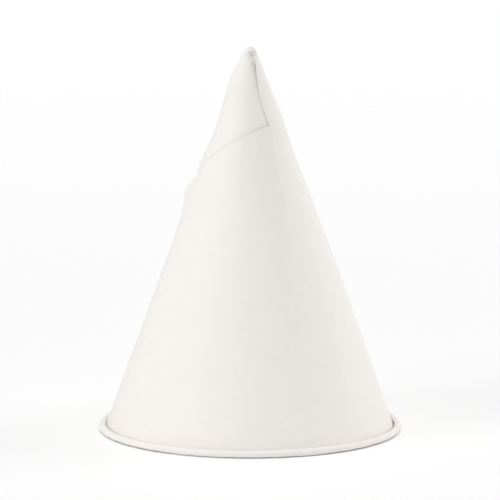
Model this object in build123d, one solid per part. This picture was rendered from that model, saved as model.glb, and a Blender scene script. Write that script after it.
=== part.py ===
from build123d import *
import os
from math import acos, atan2, cos, degrees, hypot, radians, sin, tan

# A cone paper cup, standing on its rolled rim with its tip up. It is one sheet of paper, wound
# round a cone and glued to itself, pinched shut at the tip and rolled outwards at the mouth.
# The origin is the centre of the rim, on the plane that the rim rests on, and +Z runs up to the
# tip. All sizes are in millimetres, and all directions are in degrees from +X towards +Y.

# The cup
rim_diameter = 72.5  # over the rolled rim
cup_height = 93.2  # from the plane that the rim rests on to the end of the tip
sheet_thickness = 0.18  # of one layer of the paper

# The rolled rim
bead_radius = 1.0  # of the outermost turn of the roll
curl_turns = 1.05  # turns that the sheet makes from the wall to its rolled-in edge
curl_gap = 0.08  # clear space between two turns of the roll where the sheet is doubled
roll_sides = 12  # flats to a turn, which leave the round by less than 0.04 mm

# The tip
tip_radius = 1.7  # rounding of its end
tip_closure = 1.8  # pinched paper between the hollow and the end of the tip
tip_step = 3.5  # how far the outer layer's top corner stays below the end of the tip

# The lap, where the sheet lies over itself
lap_edge_distance = 22.2  # along the slope, from the cone's apex to the sheet's straight cut
lap_foot_direction = -15.0  # where that cut comes nearest to the apex
tip_edge_direction = -55.0  # of the short edge that runs from the cut up to the tip
tip_overlap = 45.0  # turn from that short edge to the inner end of the sheet
step_ramp = 6.0  # turn over which the sheet comes down off its own inner end

# The cone touches the roll on the roll's inner side and the rounded tip on its outer side, which
# sets its slope. The sheet's inner face is the roll's outer face.
roll_centre_radius = rim_diameter / 2 - bead_radius
tip_centre_height = cup_height - tip_radius
tip_over_roll = tip_centre_height - bead_radius
offset_between = bead_radius + tip_radius - sheet_thickness
half_angle = acos(offset_between / hypot(roll_centre_radius, tip_over_roll)) - atan2(
    tip_over_roll, roll_centre_radius
)
half_angle_degrees = degrees(half_angle)

# Apexes of the cones that the sheet's two faces lie on
outer_apex = tip_centre_height + tip_radius / sin(half_angle)
inner_apex = outer_apex - sheet_thickness / sin(half_angle)

# The hollow's own rounded end, below the pinched paper
hollow_top = cup_height - tip_closure
hollow_tip_radius = (inner_apex - hollow_top) / (1 / sin(half_angle) - 1)
hollow_tip_height = hollow_top - hollow_tip_radius

# One turn of the roll lies inside the last by this much, which leaves room for a doubled sheet.
turn_step = 2 * sheet_thickness + curl_gap

lap_top = cup_height - tip_step
inner_edge_direction = tip_edge_direction + tip_overlap
wedge_foot = 3 * bead_radius


def wall_radius(height, depth):
    """Radius of the wall at a height, this deep into the layers from the sheet's inner face."""
    return (inner_apex - height) * tan(half_angle) + depth / cos(half_angle)


def roll(depth):
    """Corners of the roll in section, this deep from the sheet's inner face.

    They start where the straight wall runs into the roll. The roll is round from there past its
    lowest point to its widest, which are both corners, and draws in on a spiral after that.
    """
    side = 360 / roll_sides
    foot = 180 + half_angle_degrees
    end = foot + 360 * curl_turns
    between = [side * count for count in range(round(foot / side) + 1, round(end / side))]
    corners = []
    for angle in [foot, *between, end]:
        drawn_in = max(0, angle - 360) / foot
        reach = bead_radius - depth - turn_step * drawn_in**1.5
        across = roll_centre_radius + reach * cos(radians(angle))
        corners.append((across, bead_radius + reach * sin(radians(angle))))
    return corners


def rounded_end(centre_height, radius):
    """A rounded end of a cone on the axis, from the axis to where it touches the cone."""
    return CenterArc((0, centre_height), radius, half_angle_degrees, 90 - half_angle_degrees)


def section(lines):
    """A closed outline in the plane of X and Z, as a face."""
    return Plane.XZ * Face(Wire([edge for line in lines for edge in line.edges()]))


def sheet():
    """The first layer, a full turn of the wall with its roll and its pinched tip."""
    hollow_end = rounded_end(hollow_tip_height, hollow_tip_radius)
    tip_end = rounded_end(tip_centre_height, tip_radius)
    wall = Polyline(hollow_end @ 0, *roll(0), *reversed(roll(sheet_thickness)), tip_end @ 0)
    closure = Line(tip_end @ 1, hollow_end @ 1)
    return revolve(section([hollow_end, wall, tip_end, closure]), Axis.Z)


def hollow():
    """What the cup holds, up to the level where the wall runs into the roll."""
    end = rounded_end(hollow_tip_height, hollow_tip_radius)
    foot = roll(0)[0]
    return revolve(section([end, Polyline(end @ 0, foot, (0, foot[1]), end @ 1)]), Axis.Z)


def second_layer(start, turn):
    """A sector of the layer that lies over the first, down the wall and into the roll."""
    near_top = (wall_radius(lap_top, sheet_thickness), lap_top)
    far_top = (wall_radius(lap_top, 2 * sheet_thickness), lap_top)
    near = roll(sheet_thickness)
    far = roll(2 * sheet_thickness)
    outline = Polyline(near_top, far_top, *far, *reversed(near), close=True)
    return Rot(Z=start) * revolve(section([outline]), Axis.Z, turn)


def cut_line_point(flat_angle, reach):
    """A point level with the sheet's straight cut, this far outside the wall.

    In the flat sheet the cut is a straight line, so at a flat angle from the line's foot it is
    the foot's distance over the cosine from the apex. Winding the sheet round the cone turns
    each flat angle into a larger turn about the axis.
    """
    slant = lap_edge_distance / cos(flat_angle)
    direction = radians(lap_foot_direction) - flat_angle / sin(half_angle)
    radius = slant * sin(half_angle) + reach
    height = outer_apex - slant * cos(half_angle)
    return Vector(radius * cos(direction), radius * sin(direction), height)


def cut_flat_angle(height):
    """The flat angle from the foot of the straight cut at which it reaches a height."""
    return acos(lap_edge_distance * cos(half_angle) / (outer_apex - height))


def straight_cut():
    """A twisted face, level all the way across, that passes through the straight cut.

    It runs on past the short tip edge, half way to the foot, and on below the rim.
    """
    across = 3 * bead_radius
    first = radians(lap_foot_direction - tip_edge_direction) * sin(half_angle) / 2
    last = cut_flat_angle(-bead_radius)
    steps = 24
    angles = [first + (last - first) * step / steps for step in range(steps + 1)]
    inner = Edge.make_spline([cut_line_point(angle, -across) for angle in angles])
    outer = Edge.make_spline([cut_line_point(angle, across) for angle in angles])
    return Face.make_surface_from_curves(inner, outer)


def lap():
    """The doubled part of the wall, below the straight cut and beside the short tip edge."""
    beside_tip = second_layer(tip_edge_direction, tip_overlap)
    rim_direction = lap_foot_direction - degrees(cut_flat_angle(0)) / sin(half_angle)
    past_rim_end = 4
    turn = tip_edge_direction - rim_direction + past_rim_end
    band = second_layer(tip_edge_direction - turn, turn)
    below_cut = ShapeList(band.solid().split(straight_cut(), keep=Keep.ALL)).sort_by(Axis.Z)[0]
    return beside_tip + below_cut


def inner_edge_wedge(depth):
    """A long wedge on the wall at this depth, which starts one layer proud beside the sheet's
    inner end and sinks half a layer below the wall further round."""
    sink = 1.5
    far_direction = inner_edge_direction + sink * step_ramp
    rings = []
    for height in (wedge_foot, lap_top):
        proud = wall_radius(height, depth + sheet_thickness)
        sunk = proud - sink * sheet_thickness
        corners = [
            (sunk, inner_edge_direction),
            (proud, inner_edge_direction),
            (sunk, far_direction),
        ]
        places = [(r * cos(radians(a)), r * sin(radians(a)), height) for r, a in corners]
        rings.append(Wire.make_polygon(places, close=True))
    return Solid.make_loft(rings, ruled=True)


def cup():
    """The whole cup, with the sheet coming down off its own inner end as it goes round."""
    ramp_outside = inner_edge_wedge(sheet_thickness) - hollow()
    step_inside = inner_edge_wedge(0)
    return sheet() + lap() + ramp_outside - step_inside


os.makedirs("parts", exist_ok=True)
paper_cup = cup()
export_step(paper_cup, "parts/paper_cup.step")
print("slope", round(half_angle_degrees, 2), "degrees, hollow", round(hollow().volume / 1000), "ml")
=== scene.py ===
import bpy
from collections import namedtuple
from math import acos, atan2, ceil, cos, degrees, exp, hypot, inf, pi, radians, sin
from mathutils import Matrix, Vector, noise


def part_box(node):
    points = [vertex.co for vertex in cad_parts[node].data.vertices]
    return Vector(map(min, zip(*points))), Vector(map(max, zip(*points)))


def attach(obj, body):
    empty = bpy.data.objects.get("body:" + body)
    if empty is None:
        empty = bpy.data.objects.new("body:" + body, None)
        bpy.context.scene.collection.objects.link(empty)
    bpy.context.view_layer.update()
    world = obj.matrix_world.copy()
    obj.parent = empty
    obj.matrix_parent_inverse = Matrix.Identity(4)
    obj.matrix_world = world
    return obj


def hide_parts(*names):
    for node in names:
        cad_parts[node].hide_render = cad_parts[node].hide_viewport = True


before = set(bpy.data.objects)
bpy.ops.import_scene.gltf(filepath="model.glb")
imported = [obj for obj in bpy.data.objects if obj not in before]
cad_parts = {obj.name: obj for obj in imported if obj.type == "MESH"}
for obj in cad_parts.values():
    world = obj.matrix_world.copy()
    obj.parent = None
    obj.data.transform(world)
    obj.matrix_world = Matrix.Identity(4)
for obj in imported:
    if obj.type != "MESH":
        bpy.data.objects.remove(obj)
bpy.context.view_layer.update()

# A cone paper cup, standing on its rolled rim with its tip up: one sheet of paper, wound round a
# cone and over itself. It is worked out in millimetres and put into the scene in metres.
#
# A place on the sheet is a turn and a station. The turn is in degrees round the cone from the
# sheet's inner end, which lies under the lap. The station is in millimetres down the sheet from
# the cone's apex, on along the wall and round the roll.
MM = 0.001
full_turn = 360.0

# The cup's measures, the same as the part's own
low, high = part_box("paper_cup")
rim_radius = (high[0] - low[0]) / 2 / MM
cup_height = (high[2] - low[2]) / MM
sheet_thickness = 0.18  # of one layer of the paper
bead_radius = 1.0  # of the outermost turn of the roll
curl_turns = 1.05  # turns that the sheet makes from the wall to its rolled-in edge
curl_gap = 0.08  # clear space between two turns of the roll where the sheet is doubled
curl_power = 1.5  # of the spiral on which the roll draws in, slowly at first
tip_radius = 1.7  # rounding of the tip's end
tip_closure = 1.8  # pinched paper between the hollow and the end of the tip
tip_step = 3.5  # how far the outer layer's top stays below the end of the tip
lap_edge_distance = 22.2  # along the slope, from the cone's apex to the sheet's straight cut
lap_foot_direction = -15.0  # where that cut comes nearest to the apex, from +X towards +Y
tip_edge_direction = -55.0  # of the short edge that runs from the cut up to the tip
tip_overlap = 45.0  # turn from that short edge to the inner end of the sheet
step_ramp = 6.0  # turn over which the sheet comes down off its own inner end

# Its slope, which the roll and the rounded tip set between them
roll_centre = rim_radius - bead_radius
tip_centre = cup_height - tip_radius
slope = acos(
    (bead_radius + tip_radius - sheet_thickness) / hypot(roll_centre, tip_centre - bead_radius)
) - atan2(tip_centre - bead_radius, roll_centre)
along_out = sin(slope)
along_up = cos(slope)
wall_length = (roll_centre - bead_radius * along_up) / along_out
turn_step = 2 * sheet_thickness + curl_gap
outer_apex = tip_centre + tip_radius / along_out
inner_apex = outer_apex - sheet_thickness / along_out

# Stations count from the inner face's apex, and the cut's distance from the outer face's.
# Along the slope the two apexes are this far apart.
apex_shift = sheet_thickness * along_up / along_out

# The hollow's rounded end, below the pinched paper
hollow_top = cup_height - tip_closure
hollow_radius = (inner_apex - hollow_top) / (1 / along_out - 1)
hollow_centre = hollow_top - hollow_radius

# From here to the mesh's own steps come the marks that making and handling leave on the paper.
# Many are soft humps: a hump's middle is the station or turn of its top, and at its reach on
# either side it has fallen to about a third.
Swell = namedtuple("Swell", "rise side sharpness middle reach")
Dent = namedtuple("Dent", "depth direction width middle reach")
Spring = namedtuple("Spring", "rise middle reach")
Ripples = namedtuple("Ripples", "share around along shift")

# The layers in the lap
glue_film = 0.02  # between them
loose_wrap = 0.22  # how far the outer layer stands off near the tip
loose_turn = 70.0  # turn over which it comes to lie tight again, past the short edge
loose_from = 1.0  # below the outer layer's top, where it begins to lie closer
loose_over = 9.0  # and the length over which it comes to lie tight
seam_turn = 20.0  # turn over which the outer layer's top parts from the layer below
seam_foot = 1.6  # and how far below its top it is parted everywhere

# The outer layer's free edges: the cut, and the short edge up to the tip
foot_lift = 0.045  # how far they stand off everywhere
corner_lift = 0.12  # how far the top corner does
corner_share = 0.5  # share of the short edge that rises to the corner
foot_share = 0.4  # share of the short edge that comes down to the cut
closed_turn = 6.0  # past the seam, where the outer layer's top is still shut
lift_reach = 2.3  # how far behind an edge the paper bends
held_by_roll = 6.0  # length above the roll in which the roll holds the cut down
edge_springs = (
    Spring(rise=1.35, middle=535, reach=9.5),  # the corner in the left outline
    Spring(rise=0.16, middle=504, reach=14),
    Spring(rise=0.12, middle=455, reach=16),
)
edge_bow = 0.18  # of the short edge, in radians of turn
bow_skew = 0.75  # below 1 puts the bow's middle nearer to the tip
bow_at_corner = 0.3  # share of the bow that is left at the corner
corner_rise = 1.8  # of the outer layer's top corner, towards the tip
shoulder_fall = 1.3  # of the outer layer's top edge where it starts, away from the tip

# The line that the cut has pressed into the layer below it
line_depth = 0.10
line_deepening = 2.6  # how many times its depth it gains at the left
line_width = 0.3
line_widening = 0.2  # what it gains there in width
line_offset = 0.22  # from the cut, on the bare side
line_fade = 4.0  # length above the roll in which it runs out
deepest_line = 510  # the turn where it is deepest
deepest_line_reach = 22

# The wall: ripples, and swells that face left (-1) or right (1), the sharper the narrower.
# Ripples are counted to a radian around and to a millimetre along, and their shift keeps one set
# from falling in with another.
wall_waver = 0.10  # height of the largest ripples
wall_waver_over = 40.0  # length below the apex over which they grow to that
wall_ripples = (
    Ripples(share=1.0, around=2.3, along=0.012, shift=(0, 0, 0)),
    Ripples(share=0.45, around=6.5, along=0.02, shift=(9, 0, 0)),
    Ripples(share=0.12, around=16, along=0.12, shift=(0, 5, 0)),
)
wall_swells = (
    Swell(rise=0.72, side=-1, sharpness=1, middle=12, reach=6.5),
    Swell(rise=0.45, side=1, sharpness=3, middle=21, reach=4.5),
    Swell(rise=0.5, side=-1, sharpness=4, middle=33, reach=4.5),
    Swell(rise=0.45, side=1, sharpness=2, middle=62, reach=27),
)
oval_share = 0.0035  # of its radius, by which the rim leaves the round
oval_turn = 0.8  # radians, twice the turn from the longer way across to +X

# The roll: wrinkles, and the crease where the wall turns into it
roll_waver = 0.07
roll_inset = 0.9  # share of that height by which they stay inside the plain roll
roll_waver_from = 1.0  # above the roll, where they start
roll_waver_over = 2.2  # length over which they grow
roll_ripples = (
    Ripples(share=1.0, around=12, along=0.35, shift=(0, 0, 0)),
    Ripples(share=0.6, around=7, along=0.22, shift=(0, 3, 0)),
)
rim_crease = 0.05
rim_crease_above = 1.9  # above the roll
rim_crease_reach = 0.5

# The pinched tip: twisted folds, and two dents in its front
fold_depth = 0.34
folds_foot = 13.0  # station where the folds run out
folds_over = 10.0  # length over which they grow towards the tip
fold_twist = 0.7  # radians, from their foot to the tip
tip_folds = (
    Ripples(share=1.0, around=1.7, along=0.11, shift=(0, 0, 4)),
    Ripples(share=0.4, around=4.2, along=0.25, shift=(2, 0, 0)),
)
tip_dents = (
    Dent(depth=0.6, direction=-73, width=0.55, middle=4.9, reach=1.0),  # the pit in its end
    Dent(depth=0.4, direction=-62, width=0.22, middle=5.9, reach=2.0),  # beside the short edge
)
crease_start = 0.5  # length below the apex over which folds and dents begin
through_from = 2.0  # station from which they begin to show in the hollow too
through_over = 3.0  # and the length over which they come through
tip_squeeze = 0.5  # by which the pinching narrows the hollow's end
squeeze_from = 5.0  # station from which that grows less
squeeze_over = 4.0  # and the length over which it does

# The mesh's steps round the cone, in degrees of turn
turn_spacing = 1.5
roll_end_turn = 2.2  # the last of the turn, in which the cut goes round the roll
roll_end_spacing = 0.12

# The mesh's steps down the sheet
tip_spacing = 0.26
closed_tip_spacing = 0.35
top_edge_spacing = 0.4
short_edge_spacing = 0.7
wall_spacing = 2.0
wall_foot = 3.2  # length above the roll with closer steps
wall_foot_spacing = 0.32
roll_spacing = 0.28
behind_cut = (0.15, 0.4, 0.8, 1.4)  # extra steps behind the cut
under_cut = (-1.0, -0.65, -0.4, -0.22, -0.05, 0.15)  # and across it in the layer below
cut_steps_end = 4.0  # above the roll
least_spacing = 0.08  # of an extra step from its neighbours
least_behind_cut = 0.12  # of the first step behind the cut
same_place = 1e-6  # stations closer than this are one
sharp_edge = 60.0  # degrees between two patches from which their edge is shaded sharp


def smooth(x):
    """A soft step from 0 to 1."""
    x = min(1.0, max(0.0, x))
    return x * x * (3 - 2 * x)


def hump(x, middle, reach):
    """A soft hump of height 1."""
    return exp(-(((x - middle) / reach) ** 2))


def wall_station(height, depth):
    """The station at which the wall reaches a height, this deep from the sheet's inner face."""
    foot = bead_radius - (bead_radius - depth) * along_out
    return wall_length - (height - foot) / along_up


def cut_station(turn):
    """The station of the sheet's straight cut at a turn.

    In the flat sheet the cut is a straight line, and the cone winds each flat angle into a
    larger turn about the axis.
    """
    flat_angle = radians(turn - full_turn - tip_overlap - tip_edge_direction + lap_foot_direction)
    flat_angle *= along_out
    return lap_edge_distance / cos(flat_angle) - apex_shift


def last_turn():
    """The turn at which the straight cut runs off the rolled-in edge of the sheet."""
    flat_angle = acos(lap_edge_distance / (sheet_end + apex_shift))
    past_foot = degrees(flat_angle) / along_out
    return full_turn + past_foot + tip_edge_direction + tip_overlap - lap_foot_direction


# Where the sheet's own edges and rounded ends lie
tip_start = wall_station(tip_centre + tip_radius * along_out, sheet_thickness)
hollow_start = wall_station(hollow_centre + hollow_radius * along_out, 0)
seam_start = wall_station(cup_height - tip_step / 2, sheet_thickness)
lap_top = wall_station(cup_height - tip_step, sheet_thickness)
sheet_end = wall_length + 2 * pi * curl_turns * bead_radius
tip_edge_turn = full_turn + tip_overlap
tip_edge_foot = cut_station(tip_edge_turn)
end_turn = last_turn()


def direction_of(turn):
    """The direction from +X towards +Y at a turn, in radians, going on past a full circle."""
    return radians(tip_edge_direction + tip_overlap - turn)


def past_cut(turn, station):
    """How far a place lies behind the straight cut, square to it."""
    cut = cut_station(turn)
    return (station - cut) * lap_edge_distance / cut


def down_short_edge(station):
    """How far down the short edge a station is, from 0 at its corner to 1 at the cut."""
    return (station - lap_top) / (tip_edge_foot - lap_top)


def climb(turn, station):
    """How far the sheet has climbed on to its own inner end, from 0 to 1.

    Above the seam's foot it is pinched into that end, and parts from it within a short turn.
    """
    climbed = smooth((turn - full_turn + step_ramp) / step_ramp)
    parted_below = smooth((station - lap_top) / seam_foot)
    parted_along = smooth((turn - full_turn) / seam_turn)
    return climbed * max(parted_below, parted_along)


def slack(turn, station):
    """How far the outer layer stands off near the tip, where the wrap is loose."""
    loosened = smooth((turn - full_turn) / tip_overlap)
    tightened_along = smooth((turn - tip_edge_turn) / loose_turn)
    tightened_below = smooth((station - lap_top - loose_from) / loose_over)
    return loose_wrap * loosened * (1 - tightened_along) * (1 - tightened_below)


def lift(turn, station):
    """How far the free edges of the outer layer spring away from the layer below."""
    if turn <= full_turn:
        return 0.0
    if turn > tip_edge_turn:
        springs = (spring.rise * hump(turn, spring.middle, spring.reach) for spring in edge_springs)
        held = smooth((wall_length - station) / held_by_roll)
        return (foot_lift + sum(springs)) * held * exp(-past_cut(turn, station) / lift_reach)
    opened = smooth((turn - full_turn - closed_turn) / (tip_overlap - closed_turn))
    if station > tip_edge_foot:
        return opened * foot_lift * exp(-(station - tip_edge_foot) / lift_reach)
    down = down_short_edge(station)
    at_corner = 1 - smooth(down / corner_share)
    at_foot = smooth((down - 1 + foot_share) / foot_share)
    return opened * (corner_lift * at_corner + foot_lift * at_foot)


def pressed_line(turn, station):
    """The shallow line that the cut has pressed into the layer below it."""
    over = turn + full_turn
    if turn > full_turn or not tip_edge_turn < over < end_turn:
        return 0.0
    stronger = hump(over, deepest_line, deepest_line_reach)
    across = past_cut(over, station) + line_offset
    line = hump(across, 0, line_width + line_widening * stronger)
    fading = smooth((wall_length - station) / line_fade)
    return -line_depth * (1 + line_deepening * stronger) * line * fading


def ripple(ripples, direction, station):
    """Smooth random height of a set of ripples, within about its share either way."""
    place = Vector((ripples.around * cos(direction), ripples.around * sin(direction), 0))
    place.z = ripples.along * station
    return ripples.share * noise.noise(place + Vector(ripples.shift))


def waver(direction, station):
    """The unevenness of the wall and of its roll."""
    waves = sum(ripple(ripples, direction, station) for ripples in wall_ripples)
    depth = wall_waver * waves * smooth(station / wall_waver_over)
    for swell in wall_swells:
        facing = (1 + swell.side * cos(direction)) / 2
        depth += swell.rise * facing**swell.sharpness * hump(station, swell.middle, swell.reach)
    wrinkles = sum(ripple(ripples, direction, station) for ripples in roll_ripples)
    rolled = smooth((station - wall_length + roll_waver_from) / roll_waver_over)
    depth += roll_waver * (wrinkles + roll_inset) * rolled
    return depth - rim_crease * hump(station, wall_length - rim_crease_above, rim_crease_reach)


def tip_crease(direction, station):
    """The pinched tip's twisted folds and its dents.

    The dents are in the first layer alone, because direction goes on past a full circle.
    """
    near_tip = smooth((folds_foot - station) / folds_over)
    twisted = direction + fold_twist * near_tip
    folds = sum(abs(ripple(ripples, twisted, station)) for ripples in tip_folds)
    depth = fold_depth * folds * near_tip
    for dent in tip_dents:
        across = hump(direction, radians(dent.direction), dent.width)
        depth += dent.depth * across * hump(station, dent.middle, dent.reach)
    return -depth * smooth(station / crease_start)


def bowed(turn, station):
    """The direction at a place, with the short edge bowed onwards round the cone."""
    direction = direction_of(turn)
    if turn > full_turn and lap_top < station < tip_edge_foot:
        down = down_short_edge(station)
        bow = sin(pi * down**bow_skew) + bow_at_corner * (1 - down)
        direction -= edge_bow * smooth((turn - full_turn) / tip_overlap) * bow
    return direction


def slanted(turn, station):
    """The station, moved so that the outer layer's top edge slants up to its corner."""
    if not seam_start < station < tip_edge_foot:
        return station
    if station < lap_top:
        share = (station - seam_start) / (lap_top - seam_start)
    else:
        share = 1 - down_short_edge(station)
    fallen = smooth(1 - min(turn, abs(turn - full_turn)) / tip_overlap)
    risen = smooth((turn - full_turn) / tip_overlap)
    return station + share * (shoulder_fall * fallen - corner_rise * risen)


def section_place(station, depth, outside):
    """Distance from the axis and height, at a depth from the inner face of the plain sheet."""
    if outside:
        start, centre, radius = tip_start, tip_centre, tip_radius - sheet_thickness
    else:
        start, centre, radius = hollow_start, hollow_centre, hollow_radius
    if station < start:
        angle = slope + (pi / 2 - slope) * (1 - station / start)
        reach = radius + depth
        return reach * cos(angle), centre + reach * sin(angle)
    reach = bead_radius - depth
    if station <= wall_length:
        past = station - wall_length
        across = roll_centre - reach * along_up + past * along_out
        return across, bead_radius - reach * along_out - past * along_up
    angle = pi + slope + (station - wall_length) / bead_radius
    drawn_in = max(0.0, angle - 2 * pi) / (pi + slope)
    reach -= turn_step * drawn_in**curl_power
    return roll_centre + reach * cos(angle), bead_radius + reach * sin(angle)


def sheet_point(turn, station, outside):
    """A place on one face of the wound sheet, in metres."""
    direction = bowed(turn, station)
    depth = lift(turn, station)
    station = slanted(turn, station)
    climbed = climb(turn, station)
    depth += (sheet_thickness + glue_film) * climbed + slack(turn, station)
    depth += waver(direction, station) + pressed_line(turn, station)
    if outside:
        depth += sheet_thickness + tip_crease(direction, station)
    else:
        through = max(climbed, smooth((station - through_from) / through_over))
        squeezed = 1 - smooth((station - squeeze_from) / squeeze_over)
        depth += tip_crease(direction, station) * through
        depth -= tip_squeeze * (1 - climbed) * squeezed
    across, height = section_place(station, depth, outside)
    across *= 1 + oval_share * cos(2 * direction + oval_turn) * smooth(station / wall_length)
    return Vector((across * cos(direction), across * sin(direction), height)) * MM


def spread(first, last, spacing):
    """Evenly spaced values from first up to, but not with, last."""
    count = max(1, ceil((last - first) / spacing))
    return [first + (last - first) * step / count for step in range(count)]


def sheet_stations():
    """Stations down the sheet, closer together at the tip and in the roll."""
    return [
        *spread(0.0, tip_start, tip_spacing),
        *spread(tip_start, seam_start, closed_tip_spacing),
        *spread(seam_start, lap_top, top_edge_spacing),
        *spread(lap_top, tip_edge_foot, short_edge_spacing),
        *spread(tip_edge_foot, wall_length - wall_foot, wall_spacing),
        *spread(wall_length - wall_foot, wall_length, wall_foot_spacing),
        *spread(wall_length, sheet_end, roll_spacing),
        sheet_end,
    ]


def sheet_turns():
    """Turns round the sheet, from its inner end to the end of its straight cut."""
    return [
        *spread(0.0, full_turn - step_ramp, turn_spacing),
        *spread(full_turn - step_ramp, full_turn, turn_spacing / 2),
        *spread(full_turn, tip_edge_turn, turn_spacing),
        *spread(tip_edge_turn, end_turn - roll_end_turn, turn_spacing),
        *spread(end_turn - roll_end_turn, end_turn, roll_end_spacing),
        end_turn,
    ]


def stations_by_the_cut(turn):
    """Extra stations, behind the straight cut or where it lies over this layer."""
    over = turn if turn > full_turn else turn + full_turn
    if not tip_edge_turn < over < end_turn:
        return []
    cut = cut_station(over)
    offsets = behind_cut if turn > full_turn else under_cut
    stations = [cut + offset * cut / lap_edge_distance for offset in offsets]
    return [place for place in stations if tip_edge_foot < place < wall_length - cut_steps_end]


def stations_down(turn):
    """Stations down one line of the sheet, from its upper edge to its rolled-in one."""
    stations = sheet_stations()
    for extra in stations_by_the_cut(turn):
        if min(abs(extra - station) for station in stations) > least_spacing:
            stations.append(extra)
    stations.sort()
    if turn > tip_edge_turn:
        cut = cut_station(turn)
        return [cut, *(station for station in stations if station > cut + least_behind_cut)]
    if turn > full_turn:
        return [station for station in stations if station >= lap_top - same_place]
    return stations


def patches_between(left, right):
    """Patches from one line of corners to the next, each corner a station and a number."""
    patches = []
    i = j = 0
    while i < len(left) - 1 or j < len(right) - 1:
        next_left = left[i + 1][0] if i < len(left) - 1 else inf
        next_right = right[j + 1][0] if j < len(right) - 1 else inf
        if abs(next_left - next_right) < same_place:
            patch = [left[i][1], left[i + 1][1], right[j + 1][1], right[j][1]]
            i += 1
            j += 1
        elif next_left < next_right:
            patch = [left[i][1], left[i + 1][1], right[j][1]]
            i += 1
        else:
            patch = [left[i][1], right[j + 1][1], right[j][1]]
            j += 1
        patch = list(dict.fromkeys(patch))
        if len(patch) > 2:
            patches.append(patch)
    return patches


def wound_sheet():
    """The whole sheet as a closed mesh: its two faces, and the edge of the paper between them.

    All lines start from the one corner at the apex. After a full turn the line's upper part is
    that of the first line again, which closes the seam beside the tip.
    """
    turns = sheet_turns()
    places = []
    lines = []
    for turn in turns:
        corners = []
        for row, station in enumerate(stations_down(turn)):
            if station == 0 and turn > 0:
                corners.append((station, 0))
            elif turn == full_turn and station <= lap_top + same_place:
                corners.append((station, lines[0][row][1]))
            else:
                corners.append((station, len(places)))
                places.append((turn, station))
        lines.append(corners)

    patches = []
    for turn, left, right in zip(turns, lines, lines[1:]):
        if turn == full_turn:
            left = [corner for corner in left if corner[0] >= lap_top - same_place]
        if turn == tip_edge_turn:
            left = [corner for corner in left if corner[0] >= tip_edge_foot - same_place]
        patches += patches_between(left, right)

    vertices = [sheet_point(turn, station, True) for turn, station in places]
    vertices += [sheet_point(turn, station, False) for turn, station in places]
    count = len(places)
    faces = patches + [[number + count for number in reversed(patch)] for patch in patches]
    sides = {
        (start, end) for patch in patches for start, end in zip(patch, patch[1:] + patch[:1])
    }
    edge_faces = [
        [end, start, start + count, end + count]
        for start, end in sorted(sides)
        if (end, start) not in sides
    ]
    return vertices, faces, edge_faces


def colour(hex_code):
    """An sRGB colour as linear values."""
    channels = []
    for start in (1, 3, 5):
        value = int(hex_code[start : start + 2], 16) / 255
        channels.append(value / 12.92 if value <= 0.04045 else ((value + 0.055) / 1.055) ** 2.4)
    return (*channels, 1.0)


def add_node(tree, kind, settings=(), links=()):
    """A node with its settings, and links from other nodes' outputs into its inputs."""
    node = tree.nodes.new(kind)
    for name, value in dict(settings).items():
        if isinstance(name, str) and name not in node.inputs:
            setattr(node, name, value)
        else:
            node.inputs[name].default_value = value
    for name, output in dict(links).items():
        tree.links.new(output, node.inputs[name])
    return node


def new_material(name):
    """An empty material and its node tree."""
    material = bpy.data.materials.new(name)
    material.use_nodes = True
    material.node_tree.nodes.clear()
    return material, material.node_tree


def cup_paper(name, darker, lighter):
    """Bleached cup paper, made smooth between rollers and left uncoated and unprinted.

    The eye sees a matt, slightly warm white with no shine, faint clouds where the fibres lie
    thicker, and close to, the fine tooth of single fibres.
    """
    cloud_size = 3.125 * MM
    # Fibres and the gaps between them, about four times coarser than real ones, so that they show
    fibre_size = 0.357 * MM
    tooth_height = 0.08 * MM
    material, tree = new_material(name)
    place = add_node(tree, "ShaderNodeTexCoord").outputs["Object"]
    clouds = add_node(
        tree, "ShaderNodeTexNoise", {"Scale": 1 / cloud_size, "Detail": 3.0}, {"Vector": place}
    )
    fibres = add_node(
        tree, "ShaderNodeTexNoise", {"Scale": 1 / fibre_size, "Detail": 4.0}, {"Vector": place}
    )
    # The noise seldom leaves this range.
    clouding = add_node(
        tree,
        "ShaderNodeMapRange",
        {"From Min": 0.3, "From Max": 0.7},
        {"Value": clouds.outputs["Fac"]},
    )
    # Inputs 6 and 7 of a colour mix are its two colours, and output 2 is the mixed one.
    sheet_colour = add_node(
        tree,
        "ShaderNodeMix",
        {"data_type": "RGBA", 6: colour(darker), 7: colour(lighter)},
        {"Factor": clouding.outputs["Result"]},
    )
    tooth = add_node(
        tree,
        "ShaderNodeBump",
        {"Strength": 0.65, "Distance": tooth_height},
        {"Height": fibres.outputs["Fac"]},
    )
    shader = add_node(
        tree,
        "ShaderNodeBsdfPrincipled",
        {"Roughness": 0.85, "IOR": 1.5, "Specular IOR Level": 0.35},
        {"Base Color": sheet_colour.outputs[2], "Normal": tooth.outputs["Normal"]},
    )
    add_node(tree, "ShaderNodeOutputMaterial", links={"Surface": shader.outputs["BSDF"]})
    return material


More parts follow.
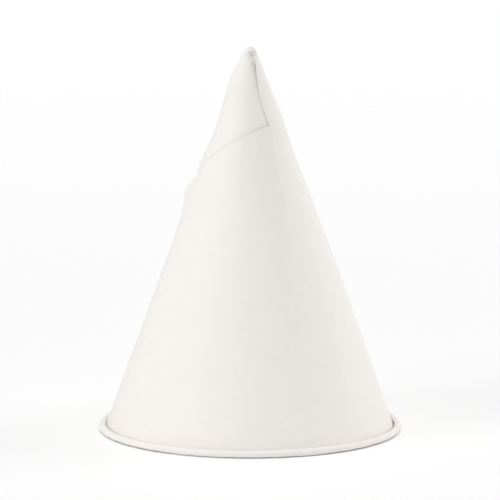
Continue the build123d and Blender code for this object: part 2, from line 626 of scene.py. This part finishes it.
def studio_floor(radius, clears_from, clears_to):
    """A matt white painted floor, which clears between two distances to show the backdrop."""
    bpy.ops.mesh.primitive_circle_add(vertices=96, radius=radius * MM, fill_type="NGON")
    floor = bpy.context.object
    floor.name = "studio_floor"
    material, tree = new_material("matt_white_studio_floor")
    place = add_node(tree, "ShaderNodeNewGeometry").outputs["Position"]
    distance = add_node(tree, "ShaderNodeVectorMath", {"operation": "LENGTH"}, {0: place})
    clearing = add_node(
        tree,
        "ShaderNodeMapRange",
        {
            "interpolation_type": "SMOOTHSTEP",
            "From Min": clears_from * MM,
            "From Max": clears_to * MM,
        },
        {"Value": distance.outputs["Value"]},
    )
    painted = add_node(
        tree,
        "ShaderNodeBsdfPrincipled",
        {"Base Color": colour("#FBFBFB"), "Roughness": 0.7, "IOR": 1.45},
    )
    clear = add_node(tree, "ShaderNodeBsdfTransparent")
    mixed = add_node(
        tree,
        "ShaderNodeMixShader",
        links={
            0: clearing.outputs["Result"],
            1: painted.outputs["BSDF"],
            2: clear.outputs["BSDF"],
        },
    )
    add_node(tree, "ShaderNodeOutputMaterial", links={"Surface": mixed.outputs["Shader"]})
    floor.data.materials.append(material)


def white_backdrop(light_level):
    """A world that lights softly from all round and shows white behind the floor."""
    world = bpy.data.worlds.new("white_backdrop")
    world.use_nodes = True
    tree = world.node_tree
    tree.nodes.clear()
    seen = add_node(tree, "ShaderNodeLightPath").outputs["Is Camera Ray"]
    white = (1, 1, 1, 1)
    light = add_node(tree, "ShaderNodeBackground", {"Color": white, "Strength": light_level})
    shown = add_node(tree, "ShaderNodeBackground", {"Color": white, "Strength": 1.0})
    mixed = add_node(
        tree,
        "ShaderNodeMixShader",
        links={0: seen, 1: light.outputs["Background"], 2: shown.outputs["Background"]},
    )
    add_node(tree, "ShaderNodeOutputWorld", links={"Surface": mixed.outputs["Shader"]})
    bpy.context.scene.world = world


def turn_back_to(thing, direction):
    """Turn a lamp or a camera so that its back faces a direction."""
    thing.rotation_mode = "QUATERNION"
    thing.rotation_quaternion = direction.to_track_quat("Z", "Y")


def soft_lamp(name, azimuth, elevation, strength, breadth):
    """A far soft lamp, its angles in degrees and its azimuth from the camera's side to +X."""
    data = bpy.data.lights.new(name, "SUN")
    data.energy = strength
    data.angle = radians(breadth)
    lamp = bpy.data.objects.new(name, data)
    bpy.context.scene.collection.objects.link(lamp)
    az, el = radians(azimuth), radians(elevation)
    turn_back_to(lamp, Vector((sin(az) * cos(el), -cos(az) * cos(el), sin(el))))


def camera(elevation, lens, sensor, shown_height, aim_height):
    """A long lens in front of the cup, looking down a little at a height on its axis."""
    data = bpy.data.cameras.new("camera")
    data.lens = lens
    data.sensor_width = sensor
    distance = shown_height * MM * lens / sensor
    data.clip_end = 10 * distance
    viewer = bpy.data.objects.new("camera", data)
    bpy.context.scene.collection.objects.link(viewer)
    el = radians(elevation)
    back = Vector((0, -cos(el), sin(el)))
    viewer.location = Vector((0, 0, aim_height * MM)) + back * distance
    turn_back_to(viewer, back)
    bpy.context.scene.camera = viewer


vertices, faces, edge_faces = wound_sheet()
mesh = bpy.data.meshes.new("wound_paper_sheet")
mesh.from_pydata(vertices, [], faces + edge_faces)
mesh.shade_smooth()
mesh.set_sharp_from_angle(angle=radians(sharp_edge))
mesh.materials.append(cup_paper("bleached_cup_paper_uncoated", "#EAE6E1", "#ECE8E4"))
# The paper's cut edges are darker than its faces: partly the raw fibres' own tone, and partly
# painted shade that stands in for the dark line of shadow along the free edges of the lap
mesh.materials.append(cup_paper("cup_paper_cut_edge_own_tone_and_painted_shade", "#DAD5CC", "#DFDBD3"))
# Every face along the paper's edges gets that darker material, with its painted shade
for number in range(len(faces), len(faces) + len(edge_faces)):
    mesh.polygons[number].material_index = 1
cup = bpy.data.objects.new("wound_paper_sheet", mesh)
bpy.context.scene.collection.objects.link(cup)
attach(cup, "root")
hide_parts("paper_cup")

studio_floor(radius=1200, clears_from=160, clears_to=600)
white_backdrop(light_level=0.46)
soft_lamp("left_soft_lamp", azimuth=-60, elevation=10, strength=1.2, breadth=40)
soft_lamp("right_soft_lamp", azimuth=102, elevation=10, strength=1.16, breadth=40)
soft_lamp("top_soft_lamp", azimuth=0, elevation=85, strength=1.38, breadth=60)
camera(elevation=10.4, lens=750, sensor=36, shown_height=120, aim_height=0.47 * cup_height)
bpy.context.scene.view_settings.view_transform = "Standard"
